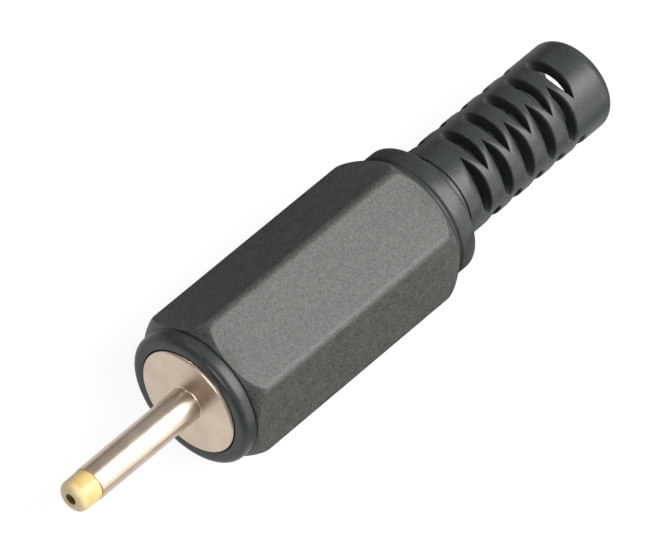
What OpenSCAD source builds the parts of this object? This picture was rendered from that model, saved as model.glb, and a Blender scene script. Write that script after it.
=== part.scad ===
// Inline DC power plug with a screw-on hexagonal hood and a slotted bend relief.
// The origin is the centre of the flange's front face. The barrel points along +X, the tail along -X,
// and one flat of the hexagon faces +Z. Depths are measured from the flange's face towards the tail.

/* [Barrel] */
// Outside diameter of the mating barrel
barrel_d = 2.35; // [2.3:0.05:3]
// Diameter of the bore through the barrel
barrel_bore_d = 1.7; // [1.5:0.05:1.9]
// Length of the metal barrel in front of the flange
barrel_len = 9; // [6:0.1:12]

/* [Flange and shank] */
// Diameter of the flange that shows in the mouth of the hood
flange_d = 7.56; // [7:0.02:7.7]
// Thickness of the flange
flange_t = 1.1; // [0.8:0.05:1.5]
// Bevel around the front edge of the flange
flange_bevel = 0.1; // [0.05:0.05:0.3]
// How far the flange stands out of the hood's nose
flange_proud = 0.15; // [0.05:0.05:0.4]
// Outside diameter of the screw thread on the shank
thread_d = 6; // [5.6:0.1:6.4]
// Length of the screw thread
thread_len = 4; // [3:0.1:5]
// Width of the relief groove between flange and thread
relief_w = 0.5; // [0.3:0.05:0.8]
// Depth of the relief groove and of the bevel at the thread's end
thread_depth = 0.4; // [0.2:0.05:0.5]
// Outside diameter of the boss that carries the sleeve lug
boss_d = 2.8; // [2.6:0.05:2.9]
// Diameter of the lip that is spread over the sleeve lug
boss_lip_d = 3.2; // [3:0.05:3.6]
// Thickness of that lip
boss_lip_t = 0.3; // [0.2:0.05:0.4]
// Diameter of the counterbore that holds the rear washer
washer_seat_d = 2.2; // [2.1:0.05:2.3]
// Depth of that counterbore, measured from the end of the boss
washer_seat_depth = 2.8; // [2:0.1:3.5]

/* [Tip insulator] */
// Diameter of the insulator's head
tip_d = 2.24; // [2.1:0.02:2.3]
// Length of the insulator's head in front of the barrel
tip_len = 1.75; // [1.2:0.05:2.2]
// How much narrower the head is at its front than at the barrel
tip_taper = 0.04; // [0.02:0.01:0.1]
// Rounding around the front of the head
tip_round = 0.5; // [0.1:0.05:0.5]
// Diameter of the hole that lets the socket's pin in
pin_hole_d = 0.76; // [0.72:0.02:0.84]
// Depth of the countersink around that hole
pin_lead_in = 0.12; // [0.05:0.01:0.15]
// Thickness of the insulator in front of the centre contact
tip_wall = 0.7; // [0.4:0.05:1]

/* [Centre contact] */
// Bore of the contact, which takes the socket's pin
contact_bore_d = 0.7; // [0.65:0.01:0.72]
// Outside diameter of the contact
contact_d = 0.98; // [0.92:0.02:1.1]
// Depth of the bore, measured from the contact's front end
contact_bore_len = 8.6; // [6:0.1:9]
// Diameter of the collar behind the insulator
contact_collar_d = 1.6; // [1.4:0.05:1.9]
// Thickness of that collar
contact_collar_t = 0.5; // [0.3:0.05:0.8]
// Diameter of the rivet head behind the solder tag
contact_head_d = 1.5; // [1.3:0.05:1.6]
// Thickness of the rivet head
contact_head_t = 0.3; // [0.2:0.05:0.5]

/* [Rear washer] */
// Diameter of the washer's shoulder behind the boss
washer_d = 3; // [2.8:0.05:3.4]
// Thickness of the washer's shoulder
washer_t = 0.5; // [0.3:0.05:0.8]

/* [Sleeve lug] */
// Thickness of the lug's and the tag's sheet metal
sheet_t = 0.36; // [0.3:0.02:0.4]
// Inside radius of the bends
bend_r = 0.14; // [0.1:0.02:0.2]
// Outside diameter of the lug's ring and of its clamp wings
lug_d = 4.6; // [4.4:0.05:4.8]
// Width of the lug's arm
lug_w = 1.6; // [1.2:0.05:1.9]
// Distance from the lug's ring to the clamp wings
lug_arm_len = 6.6; // [5.8:0.1:8]
// How far the arm's outer face lies inside the wings' outer radius
wing_step = 0.1; // [0.06:0.01:0.1]
// Length of the clamp wings
wing_len = 3; // [2:0.1:4]
// Angle that the clamp wings take around the cable
wing_angle = 230; // [200:5:250]
// Diameter of the lug's solder hole
lug_hole_d = 0.9; // [0.6:0.05:1]

/* [Centre tag] */
// Diameter of the tag's ring
tag_d = 2.8; // [2.7:0.05:3]
// Width of the tag's arm
tag_w = 1.4; // [1.2:0.05:1.6]
// Length of the tag behind the rear washer
tag_len = 4.4; // [3.6:0.1:5]
// Diameter of the tag's solder hole
tag_hole_d = 0.7; // [0.5:0.05:0.9]

/* [Hood] */
// Width of the hexagon across its flats
hex_af = 9.7; // [9.65:0.05:10.4]
// Rounding along the edges between the flats
hex_round = 0.6; // [0.2:0.05:0.8]
// Depth at which the hexagon starts behind the front collar
hex_start = 1.26; // [1.2:0.02:2]
// Length of the hexagon with its rounded ends
hex_len = 19.3; // [16:0.05:22]
// Length over which the hexagon rounds down to the front collar
front_run_out = 1.5; // [0.9:0.05:2]
// Length over which the hexagon rounds down to the rear collar
rear_run_out = 1.6; // [0.9:0.05:2]
// Diameter of the front collar
nose_d = 9.6; // [9.2:0.02:9.64]
// Rounding of the nose
nose_round = 0.45; // [0.2:0.05:0.8]
// Diameter of the rear collar
collar_d = 9.36; // [9:0.02:9.6]
// Length of the rear collar
collar_len = 1.76; // [0.8:0.02:2.5]
// Rounding of the rear collar's edge
collar_round = 0.12; // [0.1:0.02:0.5]
// Radius of the groove between the hexagon and each collar
groove_r = 0.13; // [0.05:0.01:0.2]
// Diameter of the cavity that holds the solder joints
cavity_d = 5.6; // [5.4:0.05:5.9]

/* [Bend relief] */
// Outside diameter of the slotted tail
tail_d = 6.65; // [6.4:0.05:7.4]
// Diameter of the bore for the cable
cable_bore_d = 5; // [4.4:0.1:5.2]
// Length of the tail behind the rear collar
tail_len = 15.44; // [14.6:0.02:20]
// Rounding of the tail's end
tail_round = 0.8; // [0.3:0.05:0.8]
// Bevel inside the tail's end, which eases the cable
tail_bevel = 0.3; // [0.1:0.05:0.5]
// Number of slot rows, three slots in each
slot_rows = 10; // [4:2:10]
// Distance from the rear collar to the middle of the first row
slot_start = 2.72; // [1.6:0.01:3.2]
// Distance between neighbouring rows
slot_pitch = 1.06; // [1:0.01:1.14]
// Widest opening of a slot
slot_w = 1.05; // [0.6:0.05:1.2]
// Angle around the tail that a slot takes
slot_angle = 86; // [70:1:92]
// Angle by which a slot's flared sides are wider, which keeps its pointed ends whole
slot_flare = 3; // [1:1:8]

/* [Fits] */
// Radial gap between the flange and the mouth of the hood
mouth_gap = 0.06; // [0.03:0.01:0.1]
// Radial gap between the thread and the hood's bore
thread_gap = 0.06; // [0.03:0.01:0.1]
// Gap between the flange's back and its seat in the hood
seat_gap = 0.05; // [0.02:0.01:0.1]
// Radial gap between the pieces that are pushed into each other
push_gap = 0.02; // [0.01:0.005:0.03]
// Gap between the thread's end and the hood's cavity
shank_gap = 0.5; // [0.2:0.05:1]

/* [Hidden] */
$fn = 96;
slots_per_row = 3;
hex_sides = 6;
cut = 1; // how far a cutter reaches past the surface it cuts

hex_corner_r = hex_af / 2 / cos(180 / hex_sides);
hex_end = hex_start + hex_len;
collar_end = hex_end + collar_len;
tail_end = collar_end + tail_len;
mouth_d = flange_d + 2 * mouth_gap;
seat_depth = flange_t + seat_gap;

thread_start = flange_t + relief_w;
thread_end = thread_start + thread_len;
relief_d = thread_d - 2 * thread_depth;
lug_back = thread_end + sheet_t;
boss_end = lug_back + boss_lip_t;
washer_seat = boss_end - washer_seat_depth;

tip_front = -barrel_len - tip_len;
stem_d = barrel_bore_d - 2 * push_gap;
stem_bore_d = contact_d + 2 * push_gap;
contact_front = tip_front + tip_wall;
collar_back = washer_seat + contact_collar_t;
tag_front = boss_end + washer_t;
tag_back = tag_front + sheet_t;

// Turns a shape that stands on the depth axis so that depth runs along -X and its own +X faces up.
module lay_along() {
    rotate([0, -90, 0]) children();
}

// Half profile of a bar from depth 0 to depth h with a rounded far edge.
module rounded_bar(r, h, edge) {
    square([r - edge, h]);
    square([r, h - edge]);
    translate([r - edge, h - edge]) circle(edge);
}

// Hexagon with rounded corners and one flat facing the outline's own +X.
module rounded_hexagon() {
    core_r = hex_corner_r - hex_round / cos(180 / hex_sides);
    rotate(180 / hex_sides) circle(core_r, $fn = hex_sides);
    for (side = [0 : hex_sides - 1])
        rotate(side * 360 / hex_sides) {
            translate([0, -core_r / 2]) square([hex_af / 2, core_r]);
            rotate(180 / hex_sides) translate([core_r, 0]) circle(hex_round);
        }
}

// Half profile that is taken off one end of the hexagon over the length run, down to a collar of radius r.
module run_out(r, run) {
    drop = hex_corner_r - r;
    arc_r = (drop * drop + run * run) / (2 * drop);
    difference() {
        translate([r, -cut]) square([drop + cut, run + cut]);
        translate([hex_corner_r - arc_r, run]) circle(arc_r);
    }
}

// Half profiles of the grooves that part the hexagon from the collars.
module collar_grooves() {
    translate([nose_d / 2, hex_start - groove_r]) circle(groove_r);
    translate([collar_d / 2, hex_end + groove_r]) circle(groove_r);
}

// Grip: the hexagon, rounded down to the collars at both ends.
module hood_grip() {
    difference() {
        translate([0, 0, hex_start]) linear_extrude(hex_len) rounded_hexagon();
        rotate_extrude() {
            translate([0, hex_start]) run_out(nose_d / 2, front_run_out);
            translate([0, hex_end]) mirror([0, 1]) run_out(collar_d / 2, rear_run_out);
        }
    }
}

// Round parts of the hood: nose with the front collar, rear collar and tail.
module hood_rounds() {
    rotate_extrude() {
        translate([0, hex_start + cut]) mirror([0, 1])
            rounded_bar(nose_d / 2, hex_start + cut - flange_proud, nose_round);
        translate([0, hex_end - cut]) rounded_bar(collar_d / 2, collar_len + cut, collar_round);
        translate([0, hex_end]) rounded_bar(tail_d / 2, tail_end - hex_end, tail_round);
    }
}

// Leaf-shaped slot, its length around the tail. It opens outwards between two planes through the axis,
// so that the webs between the slots of a row reach from the bore to the surface.
module leaf_slot() {
    half_len = tail_d / 2 * sin(slot_angle / 2);
    arc_r = (half_len * half_len + slot_w * slot_w / 4) / slot_w;
    reach = tail_d / 2 + cut;
    flare = reach * tan((slot_angle + slot_flare) / 2);
    intersection() {
        rotate([0, 90, 0]) linear_extrude(reach)
            intersection_for (side = [-1, 1])
                translate([side * (arc_r - slot_w / 2), 0]) circle(arc_r);
        linear_extrude(slot_w + cut, center = true)
            polygon([[0, 0], [reach, -flare], [reach, flare]]);
    }
}

// Rows of slots, each turned by half a step from the one before.
module slot_pattern() {
    step = 360 / slots_per_row;
    for (row = [0 : slot_rows - 1])
        for (slot = [0 : slots_per_row - 1])
            translate([0, 0, collar_end + slot_start + row * slot_pitch])
                rotate(step * (slot + 1 / 4 + row / 2)) leaf_slot();
}

module hood() {
    color("#4d4f4c") lay_along() difference() {
        union() {
            hood_grip();
            hood_rounds();
        }
        translate([0, 0, flange_proud - cut]) cylinder(d = mouth_d, h = seat_depth - flange_proud + cut);
        cylinder(d = thread_d + 2 * thread_gap, h = thread_end + shank_gap);
        cylinder(d = cavity_d, h = collar_end);
        cylinder(d = cable_bore_d, h = tail_end + cut);
        translate([0, 0, tail_end - tail_bevel])
            cylinder(d1 = cable_bore_d, d2 = cable_bore_d + 2 * tail_bevel, h = tail_bevel);
        rotate_extrude() collar_grooves();
        slot_pattern();
    }
}

module plug_body() {
    color("#d9d2c0") lay_along() rotate_extrude()
        polygon([
            [barrel_bore_d / 2, -barrel_len], [barrel_d / 2, -barrel_len], [barrel_d / 2, 0],
            [flange_d / 2 - flange_bevel, 0], [flange_d / 2, flange_bevel], [flange_d / 2, flange_t],
            [relief_d / 2, flange_t], [relief_d / 2, thread_start],
            [thread_d / 2, thread_start], [thread_d / 2, thread_end - thread_depth],
            [relief_d / 2, thread_end], [boss_d / 2, thread_end], [boss_d / 2, lug_back],
            [boss_lip_d / 2, lug_back], [boss_lip_d / 2, boss_end], [washer_seat_d / 2, boss_end],
            [washer_seat_d / 2, washer_seat], [barrel_bore_d / 2, washer_seat],
        ]);
}

module tip_insulator() {
    front_r = (tip_d - tip_taper) / 2;
    color("#e6cf8a") lay_along() difference() {
        rotate_extrude() {
            translate([0, -barrel_len]) mirror([0, 1]) {
                polygon([[0, 0], [tip_d / 2, 0], [front_r, tip_len - tip_round],
                         [front_r - tip_round, tip_len], [0, tip_len]]);
                translate([front_r - tip_round, tip_len - tip_round]) circle(tip_round);
            }
            translate([0, -barrel_len]) square([stem_d / 2, barrel_len + washer_seat]);
        }
        translate([0, 0, contact_front]) cylinder(d = stem_bore_d, h = washer_seat - contact_front + cut);
        translate([0, 0, tip_front - cut]) cylinder(d = pin_hole_d, h = tip_wall + 2 * cut);
        translate([0, 0, tip_front])
            cylinder(d1 = pin_hole_d + 2 * pin_lead_in, d2 = pin_hole_d, h = pin_lead_in);
    }
}

module center_contact() {
    color("#c9a24a") lay_along() rotate_extrude()
        polygon([
            [contact_bore_d / 2, contact_front], [contact_d / 2, contact_front],
            [contact_d / 2, washer_seat], [contact_collar_d / 2, washer_seat],
            [contact_collar_d / 2, collar_back], [contact_d / 2, collar_back],
            [contact_d / 2, tag_back], [contact_head_d / 2, tag_back],
            [contact_head_d / 2, tag_back + contact_head_t], [0, tag_back + contact_head_t],
            [0, contact_front + contact_bore_len], [contact_bore_d / 2, contact_front + contact_bore_len],
        ]);
}

module rear_washer() {
    bore = contact_d / 2 + push_gap;
    color("#8a5a36") lay_along() rotate_extrude()
        polygon([
            [bore, collar_back], [washer_seat_d / 2 - push_gap, collar_back],
            [washer_seat_d / 2 - push_gap, boss_end], [washer_d / 2, boss_end],
            [washer_d / 2, tag_front], [bore, tag_front],
        ]);
}

// Ring of sheet metal with a strip that is bent back from its edge. The strip's outer face is reach from the axis.
module bent_terminal(ring_d, hole_d, reach, width, back, solder_hole_d, solder_depth, round_end) {
    bend = bend_r + sheet_t;
    linear_extrude(sheet_t) difference() {
        intersection() {
            circle(d = ring_d);
            translate([-ring_d, -ring_d]) square([ring_d + reach - bend, 2 * ring_d]);
        }
        circle(d = hole_d);
    }
    difference() {
        translate([0, width / 2, 0]) rotate([90, 0, 0]) linear_extrude(width) {
            translate([hole_d / 2, 0]) square([reach - bend - hole_d / 2, sheet_t]);
            translate([reach - bend, bend]) intersection() {
                difference() {
                    circle(bend);
                    circle(bend_r);
                }
                translate([0, -bend]) square(bend);
            }
            translate([reach - sheet_t, bend]) square([sheet_t, back - bend]);
        }
        cylinder(d = hole_d, h = sheet_t);
        translate([reach - sheet_t - cut, 0, solder_depth]) rotate([0, 90, 0])
            cylinder(d = solder_hole_d, h = sheet_t + 2 * cut);
        if (round_end)
            translate([reach - sheet_t - cut, 0, back - width / 2]) rotate([0, 90, 0])
                linear_extrude(sheet_t + 2 * cut) difference() {
                    translate([-width, -width]) square([width, 2 * width]);
                    circle(d = width);
                }
    }
}

module sleeve_lug() {
    color("#cfcbc2") lay_along() rotate(180) translate([0, 0, thread_end]) {
        bent_terminal(lug_d, boss_d + 2 * push_gap, lug_d / 2 - wing_step, lug_w, lug_arm_len,
                      lug_hole_d, lug_arm_len / 2, false);
        translate([0, 0, lug_arm_len - sheet_t]) rotate(-wing_angle / 2)
            rotate_extrude(angle = wing_angle)
                translate([lug_d / 2 - sheet_t, 0]) square([sheet_t, wing_len + sheet_t]);
    }
}

module center_tag() {
    color("#cfcbc2") lay_along() translate([0, 0, tag_front])
        bent_terminal(tag_d, contact_d + 2 * push_gap, tag_d / 2, tag_w, tag_len,
                      tag_hole_d, tag_len - tag_w / 2, true);
}

hood();
plug_body();
tip_insulator();
center_contact();
rear_washer();
sleeve_lug();
center_tag();
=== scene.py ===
import math

import bmesh
import bpy
from mathutils import Matrix, Vector


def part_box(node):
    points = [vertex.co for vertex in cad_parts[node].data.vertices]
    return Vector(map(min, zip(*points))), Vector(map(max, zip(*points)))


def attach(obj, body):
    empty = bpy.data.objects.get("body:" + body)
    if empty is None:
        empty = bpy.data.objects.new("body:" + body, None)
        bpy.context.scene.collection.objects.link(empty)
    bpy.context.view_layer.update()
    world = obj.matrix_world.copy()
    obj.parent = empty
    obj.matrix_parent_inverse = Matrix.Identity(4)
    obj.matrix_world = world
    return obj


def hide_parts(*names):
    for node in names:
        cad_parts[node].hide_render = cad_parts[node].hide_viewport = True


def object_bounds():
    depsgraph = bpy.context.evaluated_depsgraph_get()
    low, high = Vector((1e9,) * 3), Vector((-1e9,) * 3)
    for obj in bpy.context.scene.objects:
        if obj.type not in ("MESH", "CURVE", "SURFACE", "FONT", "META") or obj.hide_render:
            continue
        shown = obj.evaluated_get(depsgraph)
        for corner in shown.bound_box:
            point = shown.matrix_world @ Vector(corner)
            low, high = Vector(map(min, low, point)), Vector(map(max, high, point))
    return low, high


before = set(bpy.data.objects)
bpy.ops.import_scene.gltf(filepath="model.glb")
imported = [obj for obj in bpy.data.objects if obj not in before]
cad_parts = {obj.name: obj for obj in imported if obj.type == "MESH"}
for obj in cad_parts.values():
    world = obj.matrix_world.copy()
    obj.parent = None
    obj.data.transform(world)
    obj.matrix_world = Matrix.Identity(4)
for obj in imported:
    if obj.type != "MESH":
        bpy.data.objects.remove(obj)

mm = 0.001
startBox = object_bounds()
print("frame loaded with", len(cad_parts), "nodes")


# Small helpers for colours, nodes and materials
def colour(text):
    parts = [int(text[i:i + 2], 16) / 255 for i in (1, 3, 5)]
    linear = [c / 12.92 if c <= 0.04045 else ((c + 0.055) / 1.055) ** 2.4 for c in parts]
    return (*linear, 1)


def addNode(tree, kind, settings=None, links=None):
    node = tree.nodes.new(kind)
    for name, value in (settings or {}).items():
        if isinstance(name, int) or name in node.inputs:
            node.inputs[name].default_value = value
        else:
            setattr(node, name, value)
    for name, source in (links or {}).items():
        tree.links.new(source, node.inputs[name])
    return node


def newMaterial(name, settings):
    material = bpy.data.materials.new(name)
    material.use_nodes = True
    shader = material.node_tree.nodes["Principled BSDF"]
    for key, value in settings.items():
        shader.inputs[key].default_value = value
    return material, material.node_tree, shader


def addNoise(tree, place, size, detail):
    settings = {"Scale": 1 / (size * mm), "Detail": detail}
    return addNode(tree, "ShaderNodeTexNoise", settings, {"Vector": place}).outputs["Fac"]


# Two colours: the dark one where the source is below the span, the pale one above it
def addTint(tree, source, look, span):
    ramp = addNode(tree, "ShaderNodeValToRGB", links={"Fac": source})
    for element, place, key in zip(ramp.color_ramp.elements, span, ("dark", "pale")):
        element.position = place
        element.color = colour(look[key])
    return ramp.outputs["Color"]


# Roughness that swings around its value with the source
def addHaze(tree, source, span, rough, swing):
    settings = {"From Min": span[0], "From Max": span[1],
                "To Min": rough - swing[0], "To Max": rough + swing[1]}
    return addNode(tree, "ShaderNodeMapRange", settings, {"Value": source}).outputs["Result"]


def addRelief(tree, source, strength, height):
    settings = {"Strength": strength, "Distance": height * mm}
    return addNode(tree, "ShaderNodeBump", settings, {"Height": source}).outputs["Normal"]


def joinShader(tree, shader, links):
    for name, source in links.items():
        tree.links.new(source, shader.inputs[name])


# Small helpers for meshes; a depth is counted from the flange's front face towards the tail
mergeGap = 0.0002 * mm
thread = {
    "pitch": 0.75,
    "footHalf": 0.3,
    "crestHalf": 0.06,
    "sink": 0.04,  # the ridge's foot lies this deep in the wall
    "perTurn": 60,
}


def spot(depth, radius, angle):
    return Vector((-depth, radius * math.sin(angle), radius * math.cos(angle))) * mm


def arc(depth, radius, size, first, last, steps):
    turn = [math.radians(first + (last - first) * i / steps) for i in range(steps + 1)]
    return [(depth + size * math.sin(t), radius + size * math.cos(t)) for t in turn]


def outline(bm, profile):
    verts = [bm.verts.new(spot(d, r, 0)) for d, r in profile]
    edges = [bm.edges.new((verts[i - 1], verts[i])) for i in range(len(verts))]
    return verts + edges


def turned(bm, profile, steps):
    bmesh.ops.spin(bm, geom=outline(bm, profile), cent=(0, 0, 0), axis=(1, 0, 0),
                   angle=math.tau, steps=steps, use_merge=True)


# The ridge of a screw thread, made in an empty mesh and closed at both ends
def helix(bm, first, foot, crest, turns):
    profile = [(first - thread["footHalf"], foot), (first + thread["footHalf"], foot),
               (first + thread["crestHalf"], crest), (first - thread["crestHalf"], crest)]
    perTurn = thread["perTurn"]
    steps = round(turns * perTurn)
    bmesh.ops.spin(bm, geom=outline(bm, profile), cent=(0, 0, 0), axis=(1, 0, 0), use_merge=False,
                   dvec=(-thread["pitch"] * mm / perTurn, 0, 0), angle=math.tau * steps / perTurn,
                   steps=steps)
    openEdges = [e for e in bm.edges if e.is_boundary]
    bmesh.ops.holes_fill(bm, edges=openEdges, sides=len(profile))


def finished(bm, name, body, node, materials, sharp):
    bmesh.ops.remove_doubles(bm, verts=bm.verts, dist=mergeGap)
    bmesh.ops.recalc_face_normals(bm, faces=bm.faces)
    mesh = bpy.data.meshes.new(name)
    bm.to_mesh(mesh)
    bm.free()
    for material in materials:
        mesh.materials.append(material)
    mesh.shade_smooth()
    mesh.set_sharp_from_angle(angle=math.radians(sharp))
    piece = bpy.data.objects.new(name, mesh)
    bpy.context.scene.collection.objects.link(piece)
    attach(piece, body)
    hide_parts(node)
    print(name, "has", len(mesh.polygons), "faces")


# Black ABS from a mould with a fine eroded grain: grey under the lamp, with small pale and dark specks
grainMix = {
    "speckShare": 0.8,
    "cloudShare": 0.2,
    "tintSpan": (0.36, 0.66),
    "hazeSpan": (0.35, 0.65),
    "hazeSwing": (0.02, 0.02),
    "height": 0.02,
}


def grainedBlack(name, look):
    material, tree, shader = newMaterial(name, {"Specular IOR Level": look["gloss"]})
    place = addNode(tree, "ShaderNodeTexCoord").outputs["Object"]
    cloud = addNoise(tree, place, look["cloud"], 3)
    speck = addNoise(tree, place, look["speck"], 2)
    part = addNode(tree, "ShaderNodeMath", {"operation": "MULTIPLY", 1: grainMix["cloudShare"]},
                   {0: cloud})
    both = addNode(tree, "ShaderNodeMath", {"operation": "MULTIPLY_ADD", 1: grainMix["speckShare"]},
                   {0: speck, 2: part.outputs[0]})
    joinShader(tree, shader, {
        "Base Color": addTint(tree, both.outputs[0], look, grainMix["tintSpan"]),
        "Roughness": addHaze(tree, cloud, grainMix["hazeSpan"], look["rough"], grainMix["hazeSwing"]),
        "Normal": addRelief(tree, speck, look["relief"], grainMix["height"])})
    return material


# Bright nickel over turned brass: warm mirror with faint rings left by the lathe
nickelMix = {
    "ringFactor": 0.31,  # a wave repeats after this length divided by its scale
    "span": (0.3, 0.7),
    "hazeSwing": (0.03, 0.05),
    "height": 0.004,
}


def nickelPlate(name, look):
    material, tree, shader = newMaterial(name, {"Metallic": 1.0})
    place = addNode(tree, "ShaderNodeTexCoord").outputs["Object"]
    rings = addNode(tree, "ShaderNodeTexWave",
                    {"wave_type": "RINGS", "rings_direction": "X",
                     "Scale": nickelMix["ringFactor"] / (look["ring"] * mm),
                     "Distortion": 0.5, "Detail": 2, "Detail Scale": 0.6}, {"Vector": place})
    cloud = addNoise(tree, place, look["cloud"], 4)
    joinShader(tree, shader, {
        "Base Color": addTint(tree, cloud, look, nickelMix["span"]),
        "Roughness": addHaze(tree, cloud, nickelMix["span"], look["rough"], nickelMix["hazeSwing"]),
        "Normal": addRelief(tree, rings.outputs["Fac"], look["relief"], nickelMix["height"])})
    return material


# A dull finish with soft clouds in its colour; between two places on X a paler colour, painted light,
# takes over
finishMix = {
    "span": (0.3, 0.7),
    "hazeSwing": (0.05, 0.05),
    "soakDepth": 0.6,
    "soakColours": (1, 0.8, 0.45),
}


def cloudedFinish(name, look):
    material, tree, shader = newMaterial(name, {
        "Metallic": look["metal"], "Subsurface Weight": look.get("soak", 0),
        "Subsurface Scale": finishMix["soakDepth"] * mm, "Subsurface Radius": finishMix["soakColours"]})
    place = addNode(tree, "ShaderNodeTexCoord").outputs["Object"]
    cloud = addNoise(tree, place, look["cloud"], 5)
    painted = addTint(tree, cloud, look, finishMix["span"])
    # Painted light: a paler colour fades in between two places along X
    if "paintedLightSpan" in look:
        axes = addNode(tree, "ShaderNodeSeparateXYZ", links={"Vector": place})
        share = addNode(tree, "ShaderNodeMapRange",
                        {"interpolation_type": "SMOOTHSTEP", "From Min": look["paintedLightSpan"][0] * mm,
                         "From Max": look["paintedLightSpan"][1] * mm}, {"Value": axes.outputs["X"]})
        paintedLight = addNode(tree, "ShaderNodeMix", {"data_type": "RGBA", 7: colour(look["paintedLight"])},
                         {0: share.outputs["Result"], 6: painted})
        painted = paintedLight.outputs[2]
    joinShader(tree, shader, {
        "Base Color": painted,
        "Roughness": addHaze(tree, cloud, finishMix["span"], look["rough"], finishMix["hazeSwing"])})
    return material


# Hood: one moulding from the nose over the hexagon to the slotted tail
hoodShape = {
    "edgeRound": 0.6,
    "noseRadius": 4.8,
    "noseRound": 0.45,
    "mouthRadius": 3.84,
    "mouthEdge": 0.08,
    "seatDepth": 1.15,
    "gripStart": 1.26,
    "gripEnd": 20.56,
    "gripLines": 16,
    "frontRun": 1.5,
    "rearRun": 1.6,
    "runSpan": 1.5,  # plain grip starts after this many runs
    "creaseWidth": 0.06,
    "groove": 0.13,
    "valleyWidth": 0.55,
    "valleyLines": 10,
    "collarRadius": 4.68,
    "collarEnd": 22.32,
    "collarRound": 0.2,
    "neckDepth": 0.1,
    "neckLength": 1.1,
    "neckFillet": 0.1,
    "neckRound": 0.08,
    "tailRadius": 3.325,
    "tailRound": 0.8,
    "tailTurn": 64,  # degrees of the round end before the mouth's bevel
    "tailPlain": 1,
    "tailEnd": 37.76,
    "mouthBevel": 0.3,
    "mouthSteps": (0.225, 0.17, 0),
    "cordRadius": 2.5,
    "borePlain": 1,
    "cavityRadius": 2.8,
    "threadRadius": 3.06,
    "threadHeight": 0.34,
    "threadFirst": 1.85,
    "threadTurns": 5,
    "threadEnd": 6.1,
    "slotRows": 10,
    "slotFirst": 25.04,
    "slotLead": 1.3,
    "slotPitch": 1.06,
    "slotWidth": 0.92,
    "slotHalfAngle": 40.5,
    "slotTurn": ((25.5, 154, -110), (-22.5, 106, -158)),  # middles in even and odd rows
    "slotBlunt": ((41, 24, 41), (-37, -37, -20)),  # reach of each blunt end
    "slotBluntPower": 4,
    "slotSide": {-1: 0.55, 1: 1, "last": 0.9},
    "slotEdge": {-1: 0.55, 1: 0.15, "last": 0.2},
    "slotEdgeShare": {-1: 1.2, 1: 0.5, "last": 0.5},
    "slotEdgeDrop": {-1: 0.5, 1: 1, "last": 1},
    "slotGuard": 0.03,
    "slotBoreShare": 0.8,
    "columns": 360,
    "sharpAngle": 40,
}
# Grip with a broken grey shine, smoother darker collars and tail; the bore and the slot walls are dull
# and painted paler grey as light inside the slots
hoodGrain = grainedBlack("Black ABS, eroded mould grain", {
    "dark": "#2f312d", "pale": "#555751", "rough": 0.5, "gloss": 0.5,
    "cloud": 0.7, "speck": 0.12, "relief": 0.33})
hoodSatin = grainedBlack("Black ABS, smooth mould", {
    "dark": "#2d3130", "pale": "#3d4140", "rough": 0.34, "gloss": 0.32,
    "cloud": 0.9, "speck": 0.12, "relief": 0.06})
# Painted light: the bore is paler grey to stand for light seen inside the slots
hoodBoreLit = grainedBlack("Black ABS, bore left dull by the core pin", {
    "dark": "#3c403f", "pale": "#4b4f4e", "rough": 0.6, "gloss": 0.2,
    "cloud": 0.9, "speck": 0.12, "relief": 0.06})
# Painted light: the slot walls are paler grey to stand for light falling on them
hoodWallLit = grainedBlack("Black ABS, slot walls painted grey as light on them", {
    "dark": "#404443", "pale": "#4d5150", "rough": 0.6, "gloss": 0.2,
    "cloud": 0.9, "speck": 0.12, "relief": 0.06})
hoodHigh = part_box("hood")[1]
flatHalf = hoodHigh.z / mm
noseFront = -hoodHigh.x / mm
cornerRadius = flatHalf / math.cos(math.pi / 6)


# Radius of the hexagon with rounded edges
def hexRadius(angle):
    around = (angle + math.pi / 6) % (math.pi / 3) - math.pi / 6
    size = hoodShape["edgeRound"]
    centre = (flatHalf - size) / math.cos(math.pi / 6)
    away = math.pi / 6 - abs(around)
    if math.tan(abs(around)) <= (1 - size / flatHalf) * math.tan(math.pi / 6):
        return flatHalf / math.cos(around)
    return centre * math.cos(away) + math.sqrt(size ** 2 - (centre * math.sin(away)) ** 2)


# Round end of the hexagon: its height along the axis, and where it meets a radius
def runOut(start, run):
    drop = cornerRadius - start
    arcRadius = (drop ** 2 + run ** 2) / (2 * drop)
    middle = cornerRadius - arcRadius

    def height(depth):
        return middle + math.sqrt(max(arcRadius ** 2 - (run - min(depth, run)) ** 2, 0))

    def meets(radius):
        return run - math.sqrt(max(arcRadius ** 2 - (radius - middle) ** 2, 0))

    return height, meets


# The smaller of two heights with a rounded crossing
def softer(first, second, width):
    mix = min(max(0.5 + 0.5 * (second - first) / width, 0), 1)
    return second + (first - second) * mix - width * mix * (1 - mix)


frontHeight, frontMeets = runOut(hoodShape["noseRadius"], hoodShape["frontRun"])
rearHeight, rearMeets = runOut(hoodShape["collarRadius"], hoodShape["rearRun"])
creaseSteps = [0, 0.35, 0.7, 0.85, 0.93, 1, 1.07, 1.15, 1.3]


# A place on a run-out: step 1 is the crease where the round end meets the flat or the rounded edge
def creasePoint(angle, step, height, meets):
    radius = hexRadius(angle)
    crease = meets(radius)
    depth = crease * step
    return depth, softer(radius, height(depth), hoodShape["creaseWidth"])


# Half width of a lens-shaped slot, counted from its middle
def slotHalf(across):
    half = hoodShape["tailRadius"] * math.sin(math.radians(hoodShape["slotHalfAngle"]))
    width = hoodShape["slotWidth"]
    bow = (half ** 2 + width ** 2 / 4) / width
    return math.sqrt(bow ** 2 - across ** 2) - (bow - width / 2)


# The slot of a row that lies nearest to an angle, and how far its middle is away
def nearestSlot(row, angle):
    turns = [math.radians(turn) for turn in hoodShape["slotTurn"][row % 2]]
    away = [(angle - turn + math.pi) % math.tau - math.pi for turn in turns]
    around = min(away, key=abs)
    return away.index(around), around


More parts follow.
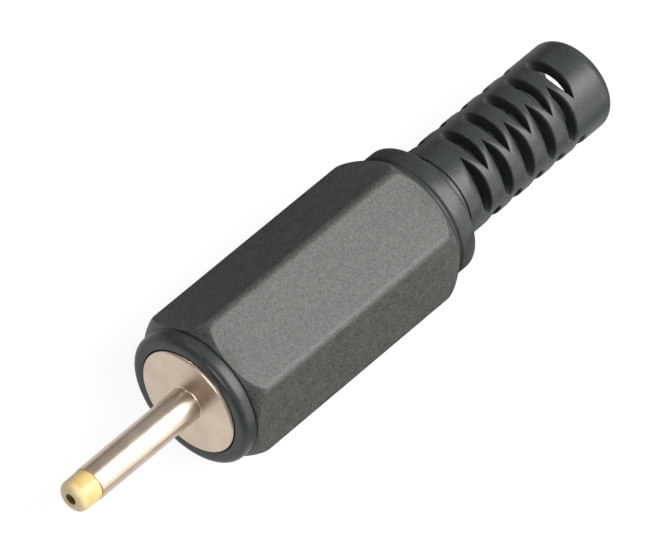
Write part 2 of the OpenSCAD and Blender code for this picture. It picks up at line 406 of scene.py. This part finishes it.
# How wide the slots of a row stand open at an angle: blunt at one end, pointed at the other, 0 between
def slotOpening(row, angle, level):
    slot, around = nearestSlot(row, angle)
    share = around / math.radians(hoodShape["slotBlunt"][row % 2][slot])
    if share > 0:
        return hoodShape["slotWidth"] / 2 * math.sqrt(max(1 - share ** hoodShape["slotBluntPower"], 0))
    if abs(around) >= math.radians(hoodShape["slotHalfAngle"]) - 0.0001:  # the pointed end closes
        return 0
    return slotHalf(level * math.sin(around))


# Lines around the hood give a depth and a radius for every angle
def ring(depth, radius):
    return lambda angle: (depth, radius)


def frontLine(step):
    def line(angle):
        depth, radius = creasePoint(angle, step, frontHeight, frontMeets)
        return hoodShape["gripStart"] + depth, radius
    return line


def rearLine(step):
    def line(angle):
        depth, radius = creasePoint(angle, step, rearHeight, rearMeets)
        return hoodShape["gripEnd"] - depth, radius
    return line


def gripLine(depth):
    return lambda angle: (depth, hexRadius(angle))


# Kind of rim: side -1 towards the nose, 1 towards the tail's end, and the last row's own front rim
def rimKind(row, side):
    return "last" if side < 0 and row == hoodShape["slotRows"] - 1 else side


# How far a slot's rim and its rounding reach
def rimReach(row, side, angle):
    opening = slotOpening(row, angle, hoodShape["tailRadius"])
    kind = rimKind(row, side)
    edge = min(hoodShape["slotEdge"][kind], hoodShape["slotEdgeShare"][kind] * opening)
    return hoodShape["slotSide"][kind] * opening, edge


# Line on a slot's rim: turn 0 on the tail's surface to 90 on the slot's wall
def rimLine(row, side, turn):
    place = hoodShape["slotFirst"] + row * hoodShape["slotPitch"]
    drop = hoodShape["slotEdgeDrop"][rimKind(row, side)]

    def line(angle):
        opening, edge = rimReach(row, side, angle)
        out = opening + edge * (1 - math.sin(math.radians(turn)))
        down = edge * drop * (1 - math.cos(math.radians(turn)))
        return place + side * out, hoodShape["tailRadius"] - down
    return line


# Line on the plain surface close to a rim, so that the rim's shading stays beside it
def guardLine(row, side):
    place = hoodShape["slotFirst"] + row * hoodShape["slotPitch"]
    guard = hoodShape["slotGuard"]
    radius = hoodShape["tailRadius"]
    return lambda angle: (place + side * (sum(rimReach(row, side, angle)) + guard), radius)


# Line halfway between the rims of a row and the next
def ribLine(row):
    place = hoodShape["slotFirst"] + (row + 0.5) * hoodShape["slotPitch"]

    def line(angle):
        reach = sum(rimReach(row, 1, angle)) - sum(rimReach(row + 1, -1, angle))
        return place + reach / 2, hoodShape["tailRadius"]
    return line


# Rim of a slot in the bore, where the slots are narrower
def boreRim(row, side):
    place = hoodShape["slotFirst"] + row * hoodShape["slotPitch"]
    level = hoodShape["cordRadius"]
    share = side * hoodShape["slotSide"][rimKind(row, side)] * hoodShape["slotBoreShare"]
    return lambda angle: (place + share * slotOpening(row, angle, level), level)


shape = hoodShape
lines = []


def addRings(points):
    lines.extend([ring(depth, radius) for depth, radius in points])


# Nose, grip and rear collar
size = shape["mouthEdge"]
addRings(arc(noseFront + size, shape["mouthRadius"] + size, size, -180, -90, 4))
size = shape["noseRound"]
addRings(arc(noseFront + size, shape["noseRadius"] - size, size, -90, 0, 10))
size = shape["groove"]
addRings(arc(shape["gripStart"] - size, shape["noseRadius"], size, -90, -270, 8))
gripFirst = len(lines)
lines += [frontLine(step) for step in creaseSteps]
spanStart = shape["gripStart"] + shape["runSpan"] * shape["frontRun"]
spanEnd = shape["gripEnd"] - shape["runSpan"] * shape["rearRun"]
count = shape["gripLines"]
lines += [gripLine(spanStart + (spanEnd - spanStart) * i / count) for i in range(count + 1)]
lines += [rearLine(step) for step in reversed(creaseSteps)]
gripLast = len(lines) - 1
count = shape["valleyLines"]
for i in range(1, count + 1):
    sunk = shape["groove"] * math.sin(math.pi * i / count) ** 2
    lines.append(ring(shape["gripEnd"] + shape["valleyWidth"] * i / count, shape["collarRadius"] - sunk))
size = shape["collarRound"]
addRings(arc(shape["collarEnd"] - size, shape["collarRadius"] - size, size, 0, 90, 6))

# Neck, slotted tail and its round end
neckRadius = shape["tailRadius"] - shape["neckDepth"]
neckEnd = shape["collarEnd"] + shape["neckLength"]
size = shape["neckFillet"]
addRings(arc(shape["collarEnd"] + size, neckRadius + size, size, 270, 180, 4))
lines.append(ring(neckEnd, neckRadius))
size = shape["neckRound"]
addRings(arc(neckEnd + size, shape["tailRadius"] - size, size, -90, 0, 4))
lines.append(ring(shape["slotFirst"] - shape["slotLead"], shape["tailRadius"]))
rimTurns = (0, 22.5, 45, 67.5, 90)
openRows = []
for row in range(shape["slotRows"]):
    lines.append(guardLine(row, -1))
    lines += [rimLine(row, -1, turn) for turn in rimTurns]
    openRows.append(len(lines) - 1)
    lines += [rimLine(row, 1, turn) for turn in reversed(rimTurns)]
    lines.append(guardLine(row, 1))
    if row < shape["slotRows"] - 1:
        lines.append(ribLine(row))
size = shape["tailRound"]
tailRing = shape["tailEnd"] - size
lines.append(ring(tailRing - shape["tailPlain"], shape["tailRadius"]))
addRings(arc(tailRing, shape["tailRadius"] - size, size, 0, shape["tailTurn"], 10))

# Bore for the cable, cavity and threaded mouth, from the tail's end back to the nose
boreEnd = shape["tailEnd"] - shape["mouthBevel"]
boreFirst = len(lines) + 2
addRings([(boreEnd + out, shape["cordRadius"] + out) for out in shape["mouthSteps"]])
for row in reversed(range(shape["slotRows"])):
    middle = shape["slotFirst"] + row * shape["slotPitch"]
    lines.append(ring(middle + shape["slotPitch"] / 2, shape["cordRadius"]))
    lines.append(boreRim(row, 1))
    openRows.append(len(lines) - 1)
    lines.append(boreRim(row, -1))
addRings([
    (shape["collarEnd"] + shape["borePlain"], shape["cordRadius"]),
    (shape["collarEnd"], shape["cordRadius"]), (shape["collarEnd"], shape["cavityRadius"]),
    (shape["threadEnd"], shape["cavityRadius"]), (shape["threadEnd"], shape["threadRadius"]),
    (shape["seatDepth"], shape["threadRadius"]), (shape["seatDepth"], shape["mouthRadius"])])

# The screw thread in the bore comes first, then a grid is wrapped around the axis along the lines
hoodMesh = bmesh.new()
helix(hoodMesh, shape["threadFirst"], shape["threadRadius"] + thread["sink"],
      shape["threadRadius"] - shape["threadHeight"], shape["threadTurns"])
columns = shape["columns"]
across = columns + 1
grid = bmesh.ops.create_grid(hoodMesh, x_segments=columns, y_segments=len(lines), size=1)["verts"]
hoodMesh.verts.index_update()
first = grid[0].index
for vert in grid:
    row, column = divmod(vert.index - first, across)
    angle = math.radians(column % columns * 360 / columns)
    depth, radius = lines[row % len(lines)](angle)
    vert.co = spot(depth, radius, angle)
cutFaces = []
for face in hoodMesh.faces:
    row = (min(v.index for v in face.verts) - first) // across
    if gripFirst <= row < gripLast:
        face.material_index = 0
    else:
        # Painted light: the bore gets a paler grey that stands for light inside the slots
        face.material_index = 2 if row >= boreFirst else 1
    if row in openRows:
        cutFaces.append(face)
bmesh.ops.delete(hoodMesh, geom=cutFaces, context="FACES")
bmesh.ops.remove_doubles(hoodMesh, verts=hoodMesh.verts, dist=mergeGap)

# The rims on the tail and in the bore are joined by the walls of the slots
rims = {}
for edge in hoodMesh.edges:
    if edge.is_boundary:
        middle = (edge.verts[0].co + edge.verts[1].co) / 2
        row = round((-middle.x / mm - shape["slotFirst"]) / shape["slotPitch"])
        slot = nearestSlot(row, math.atan2(middle.y, middle.z))[0]
        rims.setdefault((row, slot), []).append(edge)
for key in sorted(rims):
    walls = bmesh.ops.bridge_loops(hoodMesh, edges=rims[key])
    for face in walls["faces"]:
        # Painted light: the slot walls get a grey that stands for light falling on them
        face.material_index = 3
print("slots joined:", len(rims))
finished(hoodMesh, "hoodMoulding", "hood", "hood",
         [hoodGrain, hoodSatin, hoodBoreLit, hoodWallLit], shape["sharpAngle"])

# Plug body: barrel, flange and threaded shank turned from one bar
bodyShape = {
    "barrelRadius": 1.175,
    "boreRadius": 0.85,
    "barrelLength": 9,
    "barrelEdge": 0.05,
    "rootRound": 0.1,
    "flangeRadius": 3.78,
    "flangeDepth": 1.1,
    "flangeEdge": 0.2,
    "shankRadius": 2.6,
    "shankChamfer": 0.1,
    "threadRadius": 2.98,
    "threadFirst": 1.95,
    "threadTurns": 4.4,
    "shankEnd": 5.6,
    "bossRadius": 1.4,
    "lipRadius": 1.6,
    "lipEdge": 0.08,
    "lipStart": 5.96,
    "bossEnd": 6.26,
    "seatRadius": 1.1,
    "seatStart": 3.46,
    "steps": 160,
    "sharpAngle": 35,
}
nickel = nickelPlate("Bright nickel plate on turned brass", {
    "dark": "#bfae9d", "pale": "#cdbdac", "rough": 0.33, "cloud": 1.6, "ring": 0.09, "relief": 0.05})
shape = bodyShape
profile = [(-shape["barrelLength"], shape["boreRadius"])]
size = shape["barrelEdge"]
profile += arc(-shape["barrelLength"] + size, shape["barrelRadius"] - size, size, -90, 0, 4)
size = shape["rootRound"]
profile += arc(-size, shape["barrelRadius"] + size, size, 180, 90, 5)
size = shape["flangeEdge"]
profile += arc(size, shape["flangeRadius"] - size, size, -90, 0, 5)
size = shape["shankChamfer"]
profile += [
    (shape["flangeDepth"], shape["flangeRadius"]), (shape["flangeDepth"], shape["shankRadius"]),
    (shape["shankEnd"] - size, shape["shankRadius"]), (shape["shankEnd"], shape["shankRadius"] - size),
    (shape["shankEnd"], shape["bossRadius"]), (shape["lipStart"], shape["bossRadius"]),
    (shape["lipStart"], shape["lipRadius"])]
size = shape["lipEdge"]
profile += arc(shape["bossEnd"] - size, shape["lipRadius"] - size, size, 0, 90, 3)
profile += [
    (shape["bossEnd"], shape["seatRadius"]), (shape["seatStart"], shape["seatRadius"]),
    (shape["seatStart"], shape["boreRadius"])]
bodyMesh = bmesh.new()
helix(bodyMesh, shape["threadFirst"], shape["shankRadius"] - thread["sink"],
      shape["threadRadius"], shape["threadTurns"])
turned(bodyMesh, profile, shape["steps"])
finished(bodyMesh, "plugBodyTurned", "plug_core", "plug_body", [nickel], shape["sharpAngle"])

# Tip insulator: rounded yellow head on a thin stem that lines the barrel
tipShape = {
    "headRadius": 1.12,
    "frontRadius": 1.1,
    "headRound": 0.5,
    "backRound": 0.05,
    "headBack": -9,
    "headFront": -10.75,
    "holeRadius": 0.38,
    "holeSlack": 0.02,  # walls this close to the hole get the painted shade
    "leadIn": 0.12,
    "wall": 0.7,
    "stemRadius": 0.83,
    "stemBore": 0.51,
    "stemEnd": 3.46,
    "steps": 96,
    "sharpAngle": 40,
}
# Pale yellow with light in its depth and a paler front that is painted light; the pin hole is painted
# dull brown as the shade inside it
yellowTip = cloudedFinish("Pale yellow nylon, satin moulding", {
    "dark": "#ddb873", "pale": "#ebcd8e", "rough": 0.36, "metal": 0.0, "cloud": 0.8, "soak": 0.8,
    "paintedLight": "#ffe2b2", "paintedLightSpan": (10.15, 10.65)})
# Painted shade: a darker brown for the shade inside the pin hole
shadedHole = cloudedFinish("Yellow nylon, pin hole painted dark as shade", {
    "dark": "#94794f", "pale": "#b69762", "rough": 0.5, "metal": 0.0, "cloud": 0.3})
shape = tipShape
size = shape["leadIn"]
profile = arc(shape["headFront"] + size, shape["holeRadius"] + size, size, 180, 270, 4)
size = shape["headRound"]
profile += arc(shape["headFront"] + size, shape["frontRadius"] - size, size, -90, 0, 8)
size = shape["backRound"]
profile += arc(shape["headBack"] - size, shape["headRadius"] - size, size, 0, 90, 3)
inner = shape["headFront"] + shape["wall"]
profile += [
    (shape["headBack"], shape["stemRadius"]), (shape["stemEnd"], shape["stemRadius"]),
    (shape["stemEnd"], shape["stemBore"]), (inner, shape["stemBore"]), (inner, shape["holeRadius"])]
tipMesh = bmesh.new()
turned(tipMesh, profile, shape["steps"])
# Painted shade: faces of the pin hole and the stem's bore get the darker colour
shadedHoleRadius = (shape["holeRadius"] + shape["holeSlack"]) * mm
for face in tipMesh.faces:
    reach = max(math.hypot(v.co.y, v.co.z) for v in face.verts)
    face.material_index = 1 if reach < shadedHoleRadius else 0
finished(tipMesh, "tipMoulding", "plug_core", "tip_insulator", [yellowTip, shadedHole], shape["sharpAngle"])

# Pieces inside the hood keep the frame's own shapes: golden brass, dull brown board and grey shining tin
tinned = {"dark": "#b9b5aa", "pale": "#d3d0c8", "rough": 0.34, "metal": 1.0, "cloud": 0.9}
hiddenFinish = {
    "center_contact": ("center_contact", "Turned brass, bare", {
        "dark": "#b98a3c", "pale": "#d0a552", "rough": 0.3, "metal": 1.0, "cloud": 0.6}),
    "rear_washer": ("rear_washer", "Brown phenolic board", {
        "dark": "#5a3a22", "pale": "#7a5234", "rough": 0.5, "metal": 0.0, "cloud": 0.35}),
    "sleeve_lug": ("terminal", "Tinned brass sheet", tinned),
    "center_tag": ("terminal", "Tinned brass sheet, tag", tinned),
}
for nodeName, (slotName, words, look) in hiddenFinish.items():
    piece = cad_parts[nodeName]
    piece.data.materials.clear()
    piece.data.materials.append(cloudedFinish(words, look))
print("inner pieces painted")

# Floor, backdrop and soft studio lamps
studio = {
    "floorSize": 4.0,
    "floorGap": 0.005,
    "floorGlow": 0.93,
    "paper": "#525252",
    "paperRough": 0.9,
    "cardEdge": 0.02,  # glow of the mirrored floor outside the cards
    "cards": {
        "front": {"place": (7, 0), "spread": 3.5, "reach": (8, 17), "glow": 0.95},
        "tail": {"place": (-37, 10), "spread": 1, "reach": (6, 13), "glow": 0.6},
        "tailLeft": {"place": (-39, -10), "spread": 1, "reach": (6, 12), "glow": 0.4},
    },
    "roomFill": 0.06,
    "roomInMetal": 0.42,
    "lampTarget": -14,
    "lamps": {
        "key": {"from": (-0.36, 0.28, 0.9), "far": 0.45, "size": 0.37, "power": 3.75},
        "side": {"from": (-0.45, 0.84, 0.3), "far": 0.45, "size": 0.4, "power": 0.76},
        "front": {"from": (0.98, 0.0, 0.15), "far": 0.45, "size": 0.1, "power": 0.65},
        "window": {"from": (0.1, -0.77, 0.6), "far": 0.45, "size": 0.03, "power": 0.16},
    },
}
floorMesh = bmesh.new()
bmesh.ops.create_grid(floorMesh, x_segments=1, y_segments=1, size=studio["floorSize"] / 2)
for vert in floorMesh.verts:
    vert.co.z = startBox[0][2] - studio["floorGap"] * mm
floorData = bpy.data.meshes.new("floor")
floorMesh.to_mesh(floorData)
floorMesh.free()
floor = bpy.data.objects.new("floor", floorData)
bpy.context.scene.collection.objects.link(floor)

# White paper: even white to the eye with a faint shadow; shiny faces mirror it as white cards
# near the front end and beside the tail
paper, tree, shader = newMaterial("White paper floor", {
    "Base Color": colour(studio["paper"]), "Roughness": studio["paperRough"], "Specular IOR Level": 0.0,
    "Emission Color": colour("#ffffff")})
path = addNode(tree, "ShaderNodeLightPath")
mirrored = addNode(tree, "ShaderNodeMath", {"operation": "MAXIMUM"},
                   {0: path.outputs["Is Glossy Ray"], 1: path.outputs["Is Transmission Ray"]})
coords = addNode(tree, "ShaderNodeTexCoord")
glow = addNode(tree, "ShaderNodeValue").outputs[0]
glow.default_value = studio["cardEdge"]
for card in studio["cards"].values():
    spread = card["spread"]
    squeezed = addNode(tree, "ShaderNodeVectorMath", {"operation": "MULTIPLY", 1: (1, 1 / spread, 0)},
                       {0: coords.outputs["Object"]})
    middle = (card["place"][0] * mm, card["place"][1] * mm / spread, 0)
    away = addNode(tree, "ShaderNodeVectorMath", {"operation": "DISTANCE", 1: middle},
                   {0: squeezed.outputs["Vector"]})
    fade = addNode(tree, "ShaderNodeMapRange",
                   {"interpolation_type": "SMOOTHSTEP", "From Min": card["reach"][0] * mm,
                    "From Max": card["reach"][1] * mm, "To Min": card["glow"], "To Max": 0},
                   {"Value": away.outputs["Value"]})
    glow = addNode(tree, "ShaderNodeMath", {"operation": "MAXIMUM"},
                   {0: glow, 1: fade.outputs["Result"]}).outputs[0]
dimmed = addNode(tree, "ShaderNodeMath", {"operation": "MULTIPLY"},
                 {0: mirrored.outputs[0], 1: glow})
direct = addNode(tree, "ShaderNodeMath", {"operation": "MULTIPLY_ADD", 1: studio["floorGlow"]},
                 {0: path.outputs["Is Camera Ray"], 2: dimmed.outputs[0]})
tree.links.new(direct.outputs[0], shader.inputs["Emission Strength"])
floorData.materials.append(paper)

# Room: white behind the floor, dim as a light, brighter in mirrors
world = bpy.data.worlds.new("studio")
bpy.context.scene.world = world
world.use_nodes = True
path = addNode(world.node_tree, "ShaderNodeLightPath")
inMetal = addNode(world.node_tree, "ShaderNodeMath", {"operation": "MULTIPLY", 1: studio["roomInMetal"]},
                  {0: path.outputs["Is Glossy Ray"]})
filled = addNode(world.node_tree, "ShaderNodeMath", {"operation": "MAXIMUM", 1: studio["roomFill"]},
                 {0: inMetal.outputs[0]})
level = addNode(world.node_tree, "ShaderNodeMath", {"operation": "MAXIMUM"},
                {0: filled.outputs[0], 1: path.outputs["Is Camera Ray"]})
back = world.node_tree.nodes["Background"]
back.inputs["Color"].default_value = (1, 1, 1, 1)
world.node_tree.links.new(level.outputs[0], back.inputs["Strength"])
for name, lamp in studio["lamps"].items():
    light = bpy.data.lights.new(name, "AREA")
    light.shape = "SQUARE"
    light.size = lamp["size"]
    light.energy = lamp["power"]
    holder = bpy.data.objects.new(name, light)
    bpy.context.scene.collection.objects.link(holder)
    direction = Vector(lamp["from"]).normalized()
    target = Vector((studio["lampTarget"] * mm, 0, 0))
    holder.location = target + direction * lamp["far"]
    holder.rotation_euler = direction.to_track_quat("Z", "Y").to_euler()
print("studio lit")

# Camera: from above the front end, so that the axis runs up to the right in the picture
view = {
    "tilt": 31.3,
    "side": 2.5,
    "far": 480,
    "focal": 7593,
    "anchor": -14.84,
    "pixel": (343.62, 272.93),
    "axis": (0.769347, 0.638831),
    "picture": (666, 555),
    "sensor": 36,
    "near": 0.01,
}
tilt = math.radians(view["tilt"])
side = math.radians(view["side"])
forward = Vector((-math.sin(tilt), -math.cos(tilt) * math.sin(side), -math.cos(tilt) * math.cos(side)))
tailward = Vector((-1, 0, 0))
along = (tailward - tailward.dot(forward) * forward).normalized()
sideways = forward.cross(along)
right = view["axis"][0] * along + view["axis"][1] * sideways
upward = view["axis"][1] * along - view["axis"][0] * sideways
offset = [(view["pixel"][i] - view["picture"][i] / 2) / view["focal"] for i in (0, 1)]
sight = forward + offset[0] * right - offset[1] * upward
place = Vector((view["anchor"] * mm, 0, 0)) - view["far"] * mm * sight
lens = bpy.data.cameras.new("camera")
camera = bpy.data.objects.new("camera", lens)
bpy.context.scene.collection.objects.link(camera)
lens.sensor_width = view["sensor"]
lens.sensor_fit = "HORIZONTAL"
lens.lens = view["focal"] / view["picture"][0] * view["sensor"]
lens.clip_start = view["near"]
camera.matrix_world = Matrix((
    (right.x, upward.x, -forward.x, place.x),
    (right.y, upward.y, -forward.y, place.y),
    (right.z, upward.z, -forward.z, place.z),
    (0, 0, 0, 1)))
bpy.context.scene.camera = camera
bpy.context.scene.view_settings.view_transform = "Standard"
